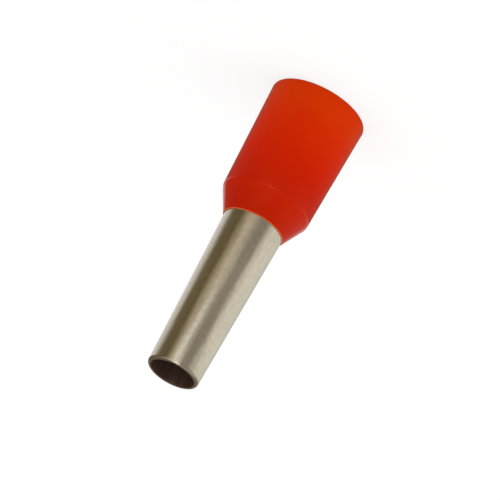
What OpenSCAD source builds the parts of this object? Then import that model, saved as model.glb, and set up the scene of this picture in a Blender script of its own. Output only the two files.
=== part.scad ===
// Insulated wire end ferrule for stranded wire of 4 square millimetres.
// A thin tinned copper sleeve takes the bare strands, and a moulded collar
// pressed on its flared end takes the wire's insulation.
// It stands on the collar's mouth: the origin is the middle of the mouth, and
// +Z runs along the axis to the tip of the sleeve.
// Both pieces are round, so each is one profile, radius by height, turned
// about the axis. All sizes are in millimetres.

/* [Sleeve] */
// Bore of the sleeve where it leaves the collar, which takes the strands
sleeve_bore = 2.8; // [2.5:0.1:3]
// Thickness of the sleeve's sheet
sleeve_wall = 0.2; // [0.18:0.01:0.25]
// Length of bare sleeve in front of the collar
sleeve_l = 9; // [6:0.5:12]
// Outside diameter of the sleeve at its tip
tip_d = 2.76; // [2.5:0.02:3.2]
// Radius of the tip's outer edge
tip_edge = 0.15; // [0.05:0.01:0.16]
// Radius of the tip's inner edge
bore_edge = 0.02; // [0.01:0.01:0.03]
// Radius of the bend where the bell opens, on its outer side
bell_bend = 0.3; // [0.1:0.05:0.6]

/* [Collar] */
// Length of the collar's barrel, from the mouth to the shoulder
barrel_l = 6.1; // [4:0.05:9]
// Length of the collar's cone, from the shoulder to the lip
cone_l = 1.4; // [1.2:0.05:2.5]
// Outside diameter of the barrel at the mouth
mouth_d = 5.08; // [4.9:0.02:5.6]
// Outside diameter of the barrel at the shoulder
shoulder_d = 4.7; // [4.6:0.05:5]
// Bore of the barrel, which takes the wire's insulation
collar_bore = 4.1; // [3.8:0.05:4.2]
// Length of the bore's straight stretch, below the bell
straight_l = 2.4; // [1:0.1:3]
// Thickness of the barrel's wall at the mouth, where the bore is widest
rim_wall = 0.34; // [0.26:0.01:0.4]
// Thickness of the cone's wall, between its outside and the bell
cone_wall = 0.3; // [0.2:0.05:0.35]
// Thickness of the collar's lip round the sleeve
lip_wall = 0.04; // [0.03:0.01:0.15]
// Radius of the lip's front edge
lip_edge = 0.04; // [0.01:0.01:0.04]
// Radius of the mouth's outer edge
mouth_edge = 0.16; // [0.05:0.01:0.2]
// Radius of the mouth's inner edge, which leads the wire in
entry_edge = 0.06; // [0.02:0.01:0.08]
// Radius of the shoulder between the barrel and the cone
shoulder_edge = 0.4; // [0.1:0.05:0.8]

/* [Fit] */
// Clearance between the collar and the sleeve it is pressed on
press_gap = 0.01; // [0.005:0.005:0.02]

/* [Hidden] */
$fn = 96;

// How far a cutting outline runs past the face that it cuts
past = 0.5;

// Heights of the collar's lip and of the sleeve's tip
lip_z = barrel_l + cone_l;
tip_z = lip_z + sleeve_l;

// Outside radius of the sleeve in the collar's neck, and of the lip round it
neck_r = sleeve_bore / 2 + sleeve_wall;
lip_r = neck_r + press_gap + lip_wall;

// Slope of the collar's cone, measured from the axis, which the bell shares
cone_angle = atan((shoulder_d / 2 - lip_r) / cone_l);

// The bell fills the collar's bore, less the clearance
bell_r = collar_bore / 2 - press_gap;

// Height at which the cone's inner face has radius r
function seat_z(r) =
    barrel_l + (shoulder_d / 2 - cone_wall / cos(cone_angle) - r) / tan(cone_angle);

// Foot and top of the bell's sloping outer face, moved out by gap
function bell_foot(gap) = [bell_r + gap, seat_z(bell_r + press_gap)];
function bell_top(gap) = [neck_r + gap, seat_z(neck_r + press_gap)];

// The same two corners on the bell's inner face, one wall thickness further in
function bell_inner_foot() = bell_foot(0) - [sleeve_wall / cos(cone_angle), 0];
function bell_inner_top() = bell_top(0) - [sleeve_wall, sleeve_wall * tan(cone_angle / 2)];

function unit(v) = v / norm(v);

// What lies between the sharp corner p of an outline, on its way from a to b,
// and an arc of radius r that rounds it. It is cut from an outer corner and
// added to an inner one, and it overlaps the outline a little.
module corner_bit(a, p, b, r) {
    to_a = unit(a - p);
    to_b = unit(b - p);
    half_angle = acos(to_a * to_b) / 2;
    to_centre = unit(to_a + to_b);
    tangent_l = r / tan(half_angle);
    translate(p)
        difference() {
            polygon([-to_centre * r, to_a * tangent_l, to_b * tangent_l]);
            translate(to_centre * r / sin(half_angle)) circle(r);
        }
}

// Everything inside the sleeve's outer face, up to the tip
module sleeve_outside() {
    foot = bell_foot(0);
    top = bell_top(0);
    lip = [neck_r, lip_z];
    tip = [tip_d / 2, tip_z];
    middle = [0, tip_z];
    difference() {
        polygon([[0, foot.y], foot, top, lip, tip, middle]);
        corner_bit(lip, tip, middle, tip_edge);
    }
    corner_bit(foot, top, lip, bell_bend);
}

// The hollow of the sleeve, from the bell to the open tip
module sleeve_hollow() {
    foot = bell_inner_foot();
    top = bell_inner_top();
    lip = [sleeve_bore / 2, lip_z];
    rim = [tip_d / 2 - sleeve_wall, tip_z];
    polygon([
        [0, foot.y - past], foot - [0, past], foot, top, lip,
        rim, rim + [0, past], [0, tip_z + past],
    ]);
    corner_bit([tip_d / 2, tip_z], rim, lip, bore_edge);
    corner_bit(foot, top, lip, bell_bend + sleeve_wall);
}

// The collar's outer form: barrel, shoulder, cone and lip
module collar_outside() {
    mouth = [mouth_d / 2, 0];
    shoulder = [shoulder_d / 2, barrel_l];
    lip = [lip_r, lip_z];
    difference() {
        polygon([[0, 0], mouth, shoulder, lip, [0, lip_z]]);
        corner_bit([0, 0], mouth, shoulder, mouth_edge);
        corner_bit(mouth, shoulder, lip, shoulder_edge);
        corner_bit(shoulder, lip, [0, lip_z], lip_edge);
    }
}

// The hollow of the collar: the insulation's bore, which widens to the mouth,
// the seat that fits round the bell, and the neck that grips the sleeve
module collar_hollow() {
    rim = [mouth_d / 2 - rim_wall, 0];
    foot = bell_foot(press_gap);
    straight = foot - [0, straight_l];
    top = bell_top(press_gap);
    lip = [neck_r + press_gap, lip_z];
    polygon([
        [0, -past], rim - [0, past], rim, straight,
        foot, top, lip, lip + [0, past], [0, lip_z + past],
    ]);
    corner_bit([mouth_d / 2, 0], rim, straight, entry_edge);
    corner_bit(foot, top, lip, bell_bend - press_gap);
}

// Tinned copper sleeve: flared bell, straight neck, tapered barrel and open
// tip, all of one thickness as drawn from sheet
module sleeve() {
    color([0.78, 0.76, 0.7])
        rotate_extrude()
            difference() {
                sleeve_outside();
                sleeve_hollow();
            }
}

// Moulded polypropylene collar
module collar() {
    color([0.8, 0.13, 0.03])
        rotate_extrude()
            difference() {
                collar_outside();
                collar_hollow();
            }
}

sleeve();
collar();
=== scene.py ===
"""Looks of an insulated wire end ferrule: a tinned copper sleeve in a moulded collar.

The ferrule stands on the collar's mouth, with the sleeve's tip up. Both pieces
are round, so each is one closed outline, radius by height, turned about Z.
Sizes here are in millimetres, and the frame is in metres. Azimuths are in
degrees: 0 is the camera's side, and 90 the side of -X.
"""

import math
from collections import namedtuple

import bpy
from mathutils import Matrix, Vector


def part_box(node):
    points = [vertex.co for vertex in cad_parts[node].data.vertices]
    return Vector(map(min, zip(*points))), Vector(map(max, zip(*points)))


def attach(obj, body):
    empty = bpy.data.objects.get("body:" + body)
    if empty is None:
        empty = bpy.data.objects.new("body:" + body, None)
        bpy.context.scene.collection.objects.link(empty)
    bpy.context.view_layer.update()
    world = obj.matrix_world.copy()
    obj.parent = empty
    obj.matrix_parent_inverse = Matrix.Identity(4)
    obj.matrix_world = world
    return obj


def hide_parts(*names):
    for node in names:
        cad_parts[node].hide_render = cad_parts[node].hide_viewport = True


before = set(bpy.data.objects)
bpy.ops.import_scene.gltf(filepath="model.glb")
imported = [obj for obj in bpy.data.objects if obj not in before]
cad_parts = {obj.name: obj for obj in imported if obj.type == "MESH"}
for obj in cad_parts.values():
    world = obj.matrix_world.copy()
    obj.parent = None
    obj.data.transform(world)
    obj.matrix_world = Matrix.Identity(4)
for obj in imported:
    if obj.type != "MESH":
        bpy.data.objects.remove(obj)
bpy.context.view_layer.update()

MM = 0.001

# From the frame: the sleeve's bell and tip, and the collar's mouth and lip
BELL_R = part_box("sleeve")[1].x / MM
TIP_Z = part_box("sleeve")[1].z / MM
MOUTH_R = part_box("collar")[1].x / MM
LIP_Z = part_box("collar")[1].z / MM

# The lathe: segments round the axis, the longest step along a straight stretch,
# and the widest step round an arc in degrees
SEGMENTS = 192
STRAIGHT_STEP = 0.4
ARC_STEP = 9

# The sleeve: its sheet, its radii in the neck and at the tip, and the radii of
# its edges and bends
SHEET = 0.2
NECK_BORE_R = 1.4
TIP_R = 1.38
TIP_EDGE = 0.15
BORE_EDGE = 0.02
BELL_BEND = 0.3
TAPER_BEND = 4

# The collar: its shoulder, the straight stretch of its bore, its walls, and the
# radii of its edges and bends
SHOULDER_R = 2.35
SHOULDER_Z = 6.1
STRAIGHT_L = 2.4
RIM_WALL = 0.34
CONE_WALL = 0.3
LIP_WALL = 0.04
LIP_EDGE = 0.04
MOUTH_EDGE = 0.16
ENTRY_EDGE = 0.06
ENTRY_BEND = 1.2
SHOULDER_EDGE = 0.4

# Radius of the corners at the bell's foot, the clearance of the press fit, and how
# close the collar's lip comes to the sleeve
SOFT_CORNER = 0.02
PRESS_GAP = 0.01
LIP_GAP = 0.002

# Which material a face of the sleeve has
OUTSIDE, INSIDE = 0, 1

# A sharp corner of an outline, the radius that rounds it, and the material of
# the arc and of the stretch that follows
Corner = namedtuple("Corner", "r z bend face", defaults=[OUTSIDE])

# Colours of the tin, outside and in the bore, in linear light: the bore's darker colour is
# painted shade of the hollow, in a copper brown. Then how bright the tin's dullest spots
# are, and the levels of noise at which it is dullest and brightest
TIN = (0.78, 0.74, 0.66)
BORE_TIN_AND_PAINTED_SHADE = (0.43, 0.29, 0.25)
DULLEST = 0.86
DULL_AT = 0.38
BRIGHT_AT = 0.62

# The collar's red by height, as a screen shows it, with painted light and shade:
# painted light lifts the thin mouth and lip, where light comes through, and painted
# shade darkens the nose, where the metal bell is behind it. Clouds in the plastic
# shift the heights by up to half the swirl, up or down.
COLLAR_RED_AND_PAINTED_LIGHT = [
    (1, (0.87, 0.215, 0.0)),
    (2.1, (0.865, 0.17, 0.0)),
    (4, (0.835, 0.125, 0.0)),
    (5.9, (0.78, 0.115, 0.015)),
    (7.3, (0.74, 0.11, 0.015)),
]
# Painted light along the lip's edge, where the thin lip lets light through and catches it
LIP_PAINTED_LIGHT = (0.88, 0.40, 0.22)
SWIRL = 1.2

# Unevenness of a surface: the size of its grains, how deep they dent it, how many
# times longer they are along Z, and how fine their detail is
Texture = namedtuple("Texture", "size depth stretch detail", defaults=[0, 1, 2])
TIN_LINES = Texture(0.12, depth=0.0012, stretch=30, detail=3)
TIN_PATCHES = Texture(1.1, depth=0.04, stretch=5)
TIN_GRAIN = Texture(0.3, depth=0.003)
TIN_MOTTLE = Texture(0.24, detail=3)
PLASTIC_CLOUDS = Texture(2.5)
PLASTIC_SINKS = Texture(1.6, depth=0.012)
PLASTIC_GRAIN = Texture(0.09, depth=0.0003)

# The camera: its height above the horizon and its turn about its own axis, in
# degrees, the point it looks at, right of the ferrule's axis and above the floor,
# the width that it takes in there, how far off it is, and its clipping and sensor
VIEW_ELEVATION = 24.24
VIEW_ROLL = -151.11
VIEW_RIGHT = -0.411
VIEW_HEIGHT = 8.618
VIEW_WIDTH = 24.765
VIEW_DISTANCE = 500
CLIP_START = 10
CLIP_END = 10000
SENSOR = 36

# The floor: how far it reaches, how much light it gives back, and its grey and
# glow where it is seen, which make it white outside the shadow
FLOOR_HALF = 2000
FLOOR_WHITE = (0.8, 0.8, 0.8, 1)
FLOOR_SHOWN = (0.3, 0.3, 0.3, 1)
FLOOR_GLOW = 0.72

# Shades of what lies round the ferrule, by azimuth and in linear light, as it
# mirrors them: the bench it stands on, the walls round it and the ceiling
BENCH = [
    (-180, (1.00, 1.00, 1.00)),
    (-150, (0.80, 0.79, 0.77)),
    (-120, (0.68, 0.65, 0.60)),
    (-106, (0.40, 0.36, 0.30)),
    (-96, (0.17, 0.14, 0.08)),
    (-58, (0.15, 0.11, 0.05)),
    (-42, (0.36, 0.30, 0.20)),
    (-26, (0.55, 0.47, 0.35)),
    (-10, (0.50, 0.44, 0.34)),
    (14, (0.30, 0.26, 0.21)),
    (40, (0.30, 0.26, 0.21)),
    (58, (0.66, 0.61, 0.53)),
    (76, (0.80, 0.76, 0.66)),
    (120, (0.78, 0.76, 0.67)),
    (150, (0.62, 0.61, 0.56)),
    (180, (0.50, 0.50, 0.47)),
]
WALLS = [
    (-180, (0.26, 0.24, 0.21)),
    (-150, (0.15, 0.13, 0.10)),
    (-110, (0.14, 0.11, 0.07)),
    (-60, (0.12, 0.09, 0.05)),
    (-42, (0.34, 0.28, 0.20)),
    (-18, (0.85, 0.80, 0.68)),
    (0, (0.70, 0.65, 0.56)),
    (14, (0.30, 0.26, 0.21)),
    (44, (0.28, 0.25, 0.20)),
    (70, (0.50, 0.46, 0.39)),
    (110, (0.45, 0.42, 0.36)),
    (150, (0.26, 0.24, 0.20)),
    (180, (0.26, 0.24, 0.21)),
]
CEILING = [
    (-180, (0.12, 0.10, 0.08)),
    (-130, (0.16, 0.13, 0.09)),
    (-104, (0.17, 0.14, 0.09)),
    (-75, (0.30, 0.25, 0.18)),
    (-50, (0.52, 0.45, 0.34)),
    (-18, (0.85, 0.80, 0.68)),
    (0, (0.50, 0.45, 0.37)),
    (14, (0.30, 0.26, 0.21)),
    (44, (0.30, 0.26, 0.21)),
    (70, (0.45, 0.41, 0.35)),
    (93, (0.40, 0.36, 0.30)),
    (127, (0.25, 0.22, 0.18)),
    (155, (0.13, 0.11, 0.09)),
    (180, (0.12, 0.10, 0.08)),
]
ROOM_R = 44
ROOM_H = 34

# A dark beam along the top of the walls, where the collar's cone mirrors them, and a
# dark round of bench next to the ferrule, a painted shadow of the ferrule that only
# reflections show
BEAM = (0.18, 0.15, 0.12)
BEAM_R = 43
BEAM_FOOT = 26
NEAR_BENCH = (0.17, 0.14, 0.11)
NEAR_BENCH_R = 16.5

# Heights above the floor of the bench and of what lies on it
BENCH_Z = 0.02
NEAR_BENCH_Z = 0.04
POOL_Z = 0.05

# How many corners the round room and a round pool of light have
ROOM_SIDES = 96
POOL_SIDES = 48

LAMP_COLOUR = (1, 0.96, 0.9)


def srgb(red, green, blue):
    """The colour that a screen shows for these values from 0 to 1, in linear light."""
    return tuple(
        c / 12.92 if c <= 0.04045 else ((c + 0.055) / 1.055) ** 2.4
        for c in (red, green, blue)
    )


def linked(name, data):
    """A new object with this data, in the scene."""
    made = bpy.data.objects.new(name, data)
    bpy.context.scene.collection.objects.link(made)
    return made


# --- Lathe ---------------------------------------------------------------------


def outward(direction):
    """The normal of an outline that runs this way with its solid on the left."""
    return Vector((direction.y, -direction.x))


def turned(vector, angle):
    """The vector turned anticlockwise by this angle."""
    return Vector((
        vector.x * math.cos(angle) - vector.y * math.sin(angle),
        vector.x * math.sin(angle) + vector.y * math.cos(angle),
    ))


def rounded(before, here, after):
    """Points and normals of the arc that rounds one corner."""
    place = Vector((here.r, here.z))
    way_in = (place - Vector((before.r, before.z))).normalized()
    way_out = (Vector((after.r, after.z)) - place).normalized()
    turn = math.atan2(way_in.x * way_out.y - way_in.y * way_out.x, way_in.dot(way_out))
    side = math.copysign(1, turn)
    start = place - way_in * here.bend * math.tan(abs(turn) / 2)
    centre = start - outward(way_in) * here.bend * side
    steps = max(2, math.ceil(abs(turn) / math.radians(ARC_STEP)))
    normals = [turned(outward(way_in), turn * k / steps) for k in range(steps + 1)]
    return [(centre + n * here.bend * side, n) for n in normals]


def outline(corners):
    """The closed outline as rows of point, normal and the face that follows."""
    count = len(corners)
    arcs = [rounded(corners[i - 1], corners[i], corners[(i + 1) % count]) for i in range(count)]
    rows = []
    for i, arc in enumerate(arcs):
        face = corners[i].face
        rows += [(point, normal, face) for point, normal in arc]
        start, normal = arc[-1]
        end = arcs[(i + 1) % count][0][0]
        steps = math.ceil((end - start).length / STRAIGHT_STEP)
        rows += [(start.lerp(end, k / steps), normal, face) for k in range(1, steps)]
    return rows


def lathe(name, corners):
    """A closed ring turned from the outline, with its true normals."""
    rows = outline(corners)
    angles = [2 * math.pi * k / SEGMENTS for k in range(SEGMENTS)]
    points, normals, faces, looks = [], [], [], []
    for i, (point, normal, face) in enumerate(rows):
        after = (i + 1) % len(rows)
        for k, angle in enumerate(angles):
            c, s = math.cos(angle), math.sin(angle)
            points.append((point.x * c * MM, point.x * s * MM, point.y * MM))
            normals.append((normal.x * c, normal.x * s, normal.y))
            across = (k + 1) % SEGMENTS
            faces.append((
                i * SEGMENTS + k, i * SEGMENTS + across,
                after * SEGMENTS + across, after * SEGMENTS + k,
            ))
            looks.append(face)
    mesh = bpy.data.meshes.new(name)
    mesh.from_pydata(points, [], faces)
    mesh.polygons.foreach_set("material_index", looks)
    mesh.shade_smooth()
    mesh.normals_split_custom_set_from_vertices(normals)
    return linked(name, mesh)


# --- The two pieces ------------------------------------------------------------


def cone_angle():
    """Slope of the collar's cone from the axis, which the bell shares."""
    lip_r = NECK_BORE_R + SHEET + PRESS_GAP + LIP_WALL
    return math.atan((SHOULDER_R - lip_r) / (LIP_Z - SHOULDER_Z))


def seat_z(radius):
    """Height at which the cone's inner face has this radius."""
    slope = cone_angle()
    return SHOULDER_Z + (SHOULDER_R - CONE_WALL / math.cos(slope) - radius) / math.tan(slope)


def make_sleeve():
    """The sleeve: up its outer face, from the bell to the tip, and down its bore."""
    slope = cone_angle()
    neck_r = NECK_BORE_R + SHEET
    foot_z = seat_z(BELL_R + PRESS_GAP)
    top_z = seat_z(neck_r + PRESS_GAP)
    bell_inner_r = BELL_R - SHEET / math.cos(slope)
    return lathe("tinned_sleeve", [
        Corner(BELL_R, foot_z, SOFT_CORNER),
        Corner(neck_r, top_z, BELL_BEND),
        Corner(neck_r, LIP_Z, TAPER_BEND),
        Corner(TIP_R, TIP_Z, TIP_EDGE),
        Corner(TIP_R - SHEET, TIP_Z, BORE_EDGE, INSIDE),
        Corner(NECK_BORE_R, LIP_Z, TAPER_BEND, INSIDE),
        Corner(NECK_BORE_R, top_z - SHEET * math.tan(slope / 2), BELL_BEND + SHEET, INSIDE),
        Corner(bell_inner_r, foot_z, SOFT_CORNER, INSIDE),
    ])


def make_collar():
    """The collar: up its outer face, from the mouth to the lip, and down its bore."""
    neck_r = NECK_BORE_R + SHEET + PRESS_GAP
    bore_r = BELL_R + PRESS_GAP
    foot_z = seat_z(bore_r)
    return lathe("moulded_collar", [
        Corner(MOUTH_R, 0, MOUTH_EDGE),
        Corner(SHOULDER_R, SHOULDER_Z, SHOULDER_EDGE),
        Corner(neck_r + LIP_WALL, LIP_Z, LIP_EDGE),
        Corner(neck_r - PRESS_GAP + LIP_GAP, LIP_Z, LIP_GAP),
        Corner(neck_r, seat_z(neck_r), BELL_BEND - PRESS_GAP),
        Corner(bore_r, foot_z, SOFT_CORNER),
        Corner(bore_r, foot_z - STRAIGHT_L, ENTRY_BEND),
        Corner(MOUTH_R - RIM_WALL, 0, ENTRY_EDGE),
    ])


# --- Materials -----------------------------------------------------------------


class Nodes:
    """The shader nodes of a new material or world, with short calls to add to them."""

    def __init__(self, owner):
        self.owner = owner
        owner.use_nodes = True
        self.tree = owner.node_tree
        self.tree.nodes.clear()

    def add(self, kind, settings=None, **inputs):
        """A node. An input, by name or as _number, takes a value or another node's output."""
        made = self.tree.nodes.new(kind)
        for key, value in (settings or {}).items():
            setattr(made, key, value)
        for key, value in inputs.items():
            socket = made.inputs[int(key[1:]) if key[0] == "_" else key.replace("_", " ")]
            if isinstance(value, bpy.types.NodeSocket):
                self.tree.links.new(value, socket)
            else:
                socket.default_value = value
        return made

    def ramp(self, factor, stops):
        """A colour ramp through stops of place and colour."""
        made = self.add("ShaderNodeValToRGB", _0=factor)
        elements = made.color_ramp.elements
        elements.remove(elements[1])
        for i, (place, colour) in enumerate(sorted(stops)):
            stop = elements[0] if i == 0 else elements.new(place)
            stop.position = place
            stop.color = (*colour, 1)
        return made.outputs["Color"]

    def done(self, shader, output="ShaderNodeOutputMaterial"):
        """Ends the tree with this shader, and returns what it belongs to."""
        self.add(output, Surface=shader)
        return self.owner


def noise(nodes, texture):
    """Noise from 0 to 1, in grains of this texture."""
    place = nodes.add("ShaderNodeTexCoord").outputs["Object"]
    scaled = nodes.add(
        "ShaderNodeMapping", Vector=place, Scale=(1, 1, 1 / texture.stretch)
    ).outputs["Vector"]
    return nodes.add(
        "ShaderNodeTexNoise",
        Vector=scaled, Scale=1 / (texture.size * MM), Detail=texture.detail,
    ).outputs["Fac"]


def spread(nodes, value, least, most):
    """Takes noise, which keeps near its middle, to the whole range from least to most."""
    return nodes.add(
        "ShaderNodeMapRange", Value=value,
        From_Min=0.3, From_Max=0.7, To_Min=least, To_Max=most,
    ).outputs["Result"]


def dented(nodes, *layers):
    """The normal of a surface that layers of noise and texture have dented in turn."""
    below = {}
    for height, texture in layers:
        bump = nodes.add(
            "ShaderNodeBump", Height=height, Strength=1.0, Distance=texture.depth * MM, **below
        )
        below = {"Normal": bump.outputs["Normal"]}
    return below["Normal"]


def tin_finish(name, colour, smooth, rough):
    """Tin on drawn copper: faint lines along the sleeve, duller patches and a fine mottle."""
    nodes = Nodes(bpy.data.materials.new(name))
    lines = noise(nodes, TIN_LINES)
    patches = noise(nodes, TIN_PATCHES)
    grain = noise(nodes, TIN_GRAIN)
    mottle = noise(nodes, TIN_MOTTLE)
    tone = nodes.add("ShaderNodeMix", _0=0.5, _2=patches, _3=mottle).outputs[0]
    dull = tuple(DULLEST * c for c in colour)
    shader = nodes.add(
        "ShaderNodeBsdfPrincipled",
        Base_Color=nodes.ramp(tone, [(DULL_AT, dull), (BRIGHT_AT, colour)]),
        Metallic=1.0,
        Roughness=spread(nodes, lines, smooth, rough),
        Normal=dented(nodes, (patches, TIN_PATCHES), (lines, TIN_LINES), (grain, TIN_GRAIN)),
    )
    return nodes.done(shader.outputs["BSDF"])


def collar_red_and_painted_light(nodes):
    """Red with painted light and shade that follow the height, clouds in it, and painted light
    at the lip's edge.
    """
    place = nodes.add("ShaderNodeTexCoord").outputs["Object"]
    height = nodes.add("ShaderNodeSeparateXYZ", Vector=place).outputs["Z"]
    swirled = nodes.add(
        "ShaderNodeMath", {"operation": "MULTIPLY_ADD"},
        _0=noise(nodes, PLASTIC_CLOUDS), _1=SWIRL * MM, _2=height,
    ).outputs[0]
    level = nodes.add(
        "ShaderNodeMapRange", Value=swirled,
        From_Min=SWIRL / 2 * MM, From_Max=(LIP_Z + SWIRL / 2) * MM,
    ).outputs["Result"]
    # The red, with painted light at the mouth and painted shade at the nose
    body = nodes.ramp(level, [(z / LIP_Z, srgb(*shade)) for z, shade in COLLAR_RED_AND_PAINTED_LIGHT])
    # Where the painted light along the lip's edge goes
    at_lip = nodes.add(
        "ShaderNodeMapRange", Value=height,
        From_Min=(LIP_Z - LIP_EDGE) * MM, From_Max=(LIP_Z - LIP_EDGE / 2) * MM,
    ).outputs["Result"]
    return nodes.add(
        "ShaderNodeMix", {"data_type": "RGBA"},
        _0=at_lip, _6=body, _7=(*srgb(*LIP_PAINTED_LIGHT), 1),
    ).outputs[2]


def plastic_finish():
    """Translucent red polypropylene with a satin skin and faint sinks."""
    nodes = Nodes(bpy.data.materials.new("red_polypropylene"))
    sinks = noise(nodes, PLASTIC_SINKS)
    grain = noise(nodes, PLASTIC_GRAIN)
    shader = nodes.add(
        "ShaderNodeBsdfPrincipled",
        Base_Color=collar_red_and_painted_light(nodes),
        Roughness=spread(nodes, grain, least=0.13, most=0.19),
        IOR=1.49,
        Normal=dented(nodes, (sinks, PLASTIC_SINKS), (grain, PLASTIC_GRAIN)),
        Specular_IOR_Level=0.45,
        Specular_Tint=(1, 0.4, 0.15, 1),
        Subsurface_Weight=0.3,
        Subsurface_Radius=(1.0, 0.15, 0.05),
        Subsurface_Scale=0.4 * MM,
    )
    return nodes.done(shader.outputs["BSDF"])


# --- Stage ---------------------------------------------------------------------


def seen_directly(nodes):
    """1 for rays from the camera, a mirror image or through glass, otherwise 0."""
    path = nodes.add("ShaderNodeLightPath").outputs
    either = nodes.add(
        "ShaderNodeMath", {"operation": "MAXIMUM"},
        _0=path["Is Camera Ray"], _1=path["Is Glossy Ray"],
    ).outputs[0]
    return nodes.add(
        "ShaderNodeMath", {"operation": "MAXIMUM"}, _0=either, _1=path["Is Transmission Ray"]
    ).outputs[0]


def floor_finish():
    """White paper that keeps a soft shadow and looks white where it is lit."""
    nodes = Nodes(bpy.data.materials.new("white_floor"))
    paper = nodes.add("ShaderNodeBsdfDiffuse", Color=FLOOR_WHITE).outputs[0]
    shown = nodes.add("ShaderNodeBsdfDiffuse", Color=FLOOR_SHOWN).outputs[0]
    glow = nodes.add("ShaderNodeEmission", Strength=FLOOR_GLOW).outputs[0]
    bright = nodes.add("ShaderNodeAddShader", _0=shown, _1=glow).outputs[0]
    shader = nodes.add("ShaderNodeMixShader", _0=seen_directly(nodes), _1=paper, _2=bright)
    return nodes.done(shader.outputs[0])


def shades_finish(name, shades):
    """A glow whose colour changes with the azimuth only."""
    nodes = Nodes(bpy.data.materials.new(name))
    place = nodes.add("ShaderNodeTexCoord").outputs["Object"]
    round_axis = nodes.add(
        "ShaderNodeTexGradient", {"gradient_type": "RADIAL"}, Vector=place
    ).outputs["Fac"]
    shade = nodes.ramp(round_axis, [(0.5 - az / 360, colour) for az, colour in shades])
    return nodes.done(nodes.add("ShaderNodeEmission", Color=shade).outputs[0])


def glow_finish(name, colour, strength=1):
    """A glow of one colour."""
    nodes = Nodes(bpy.data.materials.new(name))
    glow = nodes.add("ShaderNodeEmission", Color=(*colour, 1), Strength=strength)
    return nodes.done(glow.outputs[0])


def staged(name, points, faces, material):
    """A mesh that isn't part of the ferrule."""
    mesh = bpy.data.meshes.new(name)
    mesh.from_pydata([tuple(c * MM for c in p) for p in points], [], faces)
    mesh.materials.append(material)
    made = linked(name, mesh)
    return made


def only_mirrored(card):
    """Leaves the card to reflections: it gives no light and no shadow."""
    card.visible_camera = False
    card.visible_diffuse = False
    card.visible_transmission = False
    card.visible_volume_scatter = False
    card.visible_shadow = False


def place_at(azimuth, radius, height):
    """The point this far from the axis, on the side of this azimuth."""
    angle = math.radians(azimuth)
    return Vector((-math.sin(angle) * radius, -math.cos(angle) * radius, height))


def ring(radius, height, count=ROOM_SIDES):
    """Points spread evenly round the axis."""
    return [place_at(-360 * k / count, radius, height) for k in range(count)]


def make_floor():
    """White paper, far wider than the view."""
    low, high = -FLOOR_HALF, FLOOR_HALF
    corners = [(low, low, 0), (high, low, 0), (high, high, 0), (low, high, 0)]
    staged("floor", corners, [(0, 1, 2, 3)], floor_finish())


def make_surroundings():
    """A round room about the ferrule, which only reflections show."""
    foot, top = ring(ROOM_R, BENCH_Z), ring(ROOM_R, ROOM_H)
    whole = tuple(range(ROOM_SIDES))
    sides = [
        (k, (k + 1) % ROOM_SIDES, ROOM_SIDES + (k + 1) % ROOM_SIDES, ROOM_SIDES + k)
        for k in whole
    ]
    bench = staged("bench", foot, [whole], shades_finish("bench_shades", BENCH))
    walls = staged("walls", foot + top, sides, shades_finish("wall_shades", WALLS))
    ceiling = staged("ceiling", top, [whole], shades_finish("ceiling_shades", CEILING))
    for card in (bench, walls, ceiling):
        # The seam of the shades comes behind the ferrule
        card.rotation_euler.z = -math.pi / 2
        only_mirrored(card)
    strip = ring(BEAM_R, BEAM_FOOT) + ring(BEAM_R, ROOM_H)
    only_mirrored(staged("beam", strip, sides, glow_finish("beam_shade", BEAM)))
    # The ferrule's painted shadow on the bench, which only reflections show
    near = ring(NEAR_BENCH_R, NEAR_BENCH_Z)
    only_mirrored(staged("near_bench", near, [whole], glow_finish("near_shade", NEAR_BENCH)))


def make_lamp(name, azimuth, distance, height, radius, strength):
    """A small round lamp, for the ferrule's edges to catch."""
    centre = place_at(azimuth, distance, height)
    bpy.ops.mesh.primitive_uv_sphere_add(radius=radius * MM, location=centre * MM)
    lamp = bpy.context.object
    lamp.name = name
    lamp.data.materials.append(glow_finish(name + "_glow", LAMP_COLOUR, strength))
    only_mirrored(lamp)


def make_pool(name, azimuth, distance, radius, strength):
    """A pool of light on the bench."""
    centre = place_at(azimuth, distance, POOL_Z)
    edge = [centre + step for step in ring(radius, 0, POOL_SIDES)]
    glow = glow_finish(name + "_glow", LAMP_COLOUR, strength)
    only_mirrored(staged(name, edge, [tuple(range(POOL_SIDES))], glow))


def make_sun(name, azimuth, elevation, strength, softness):
    """A far light with soft shadows, which no reflection shows."""
    lamp = bpy.data.lights.new(name, "SUN")
    lamp.energy = strength
    lamp.angle = math.radians(softness)
    rise = math.radians(elevation)
    towards = place_at(azimuth, math.cos(rise), math.sin(rise))
    sun = linked(name, lamp)
    sun.rotation_mode = "QUATERNION"
    sun.rotation_quaternion = towards.to_track_quat("Z", "Y")
    sun.visible_glossy = False


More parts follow.
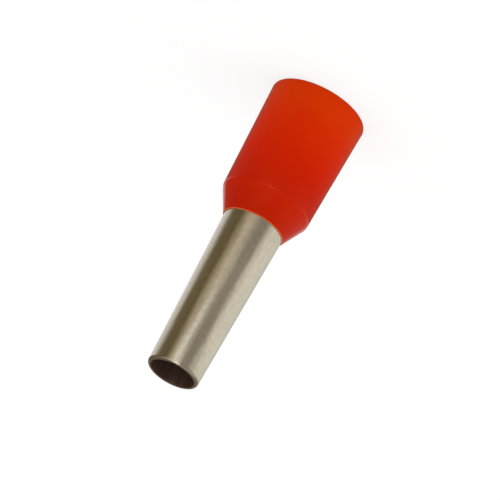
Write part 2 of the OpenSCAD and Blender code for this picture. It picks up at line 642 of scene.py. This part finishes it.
def make_world(level):
    """A white sky that gives light of this level and looks white where it is seen."""
    world = bpy.data.worlds.new("studio")
    bpy.context.scene.world = world
    nodes = Nodes(world)
    strength = nodes.add("ShaderNodeMapRange", Value=seen_directly(nodes), To_Min=level)
    sky = nodes.add(
        "ShaderNodeBackground", Color=(1, 1, 1, 1), Strength=strength.outputs["Result"]
    )
    nodes.done(sky.outputs["Background"], "ShaderNodeOutputWorld")


def make_camera():
    """The camera, far off with a long lens, rolled so that the tip points down and left."""
    elevation, roll = math.radians(VIEW_ELEVATION), math.radians(VIEW_ROLL)
    back = Vector((0, -math.cos(elevation), math.sin(elevation)))
    level_right = Vector((1, 0, 0))
    level_up = back.cross(level_right)
    right = level_right * math.cos(roll) + level_up * math.sin(roll)
    up = back.cross(right)
    place = level_right * VIEW_RIGHT + Vector((0, 0, VIEW_HEIGHT)) + back * VIEW_DISTANCE
    data = bpy.data.cameras.new("camera")
    data.sensor_width = SENSOR
    data.lens = SENSOR * VIEW_DISTANCE / VIEW_WIDTH
    data.clip_start = CLIP_START * MM
    data.clip_end = CLIP_END * MM
    camera = linked("camera", data)
    camera.matrix_world = Matrix.Translation(place * MM) @ Matrix(
        (right, up, back)
    ).transposed().to_4x4()
    bpy.context.scene.camera = camera


# --- Scene ---------------------------------------------------------------------

make_camera()
make_floor()
make_surroundings()
make_lamp("high_lamp", azimuth=-9, distance=6, height=30, radius=2.6, strength=2.2)
make_lamp("low_lamp", azimuth=-9, distance=38, height=18, radius=2, strength=10)
make_pool("pool", azimuth=-14, distance=45, radius=10, strength=0.8)
make_sun("key", azimuth=60, elevation=40, strength=0.45, softness=50)
make_world(level=0.9)

sleeve = make_sleeve()
sleeve.data.materials.append(tin_finish("tinned_copper", TIN, smooth=0.12, rough=0.22))
# The bore's tin, darkened with painted shade of the hollow
sleeve.data.materials.append(tin_finish("bore_tin_painted_shade", BORE_TIN_AND_PAINTED_SHADE, smooth=0.5, rough=0.65))
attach(sleeve, "root")
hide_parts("sleeve")

collar = make_collar()
collar.data.materials.append(plastic_finish())
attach(collar, "root")
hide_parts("collar")

bpy.context.scene.view_settings.view_transform = "Standard"

bpy.context.view_layer.update()
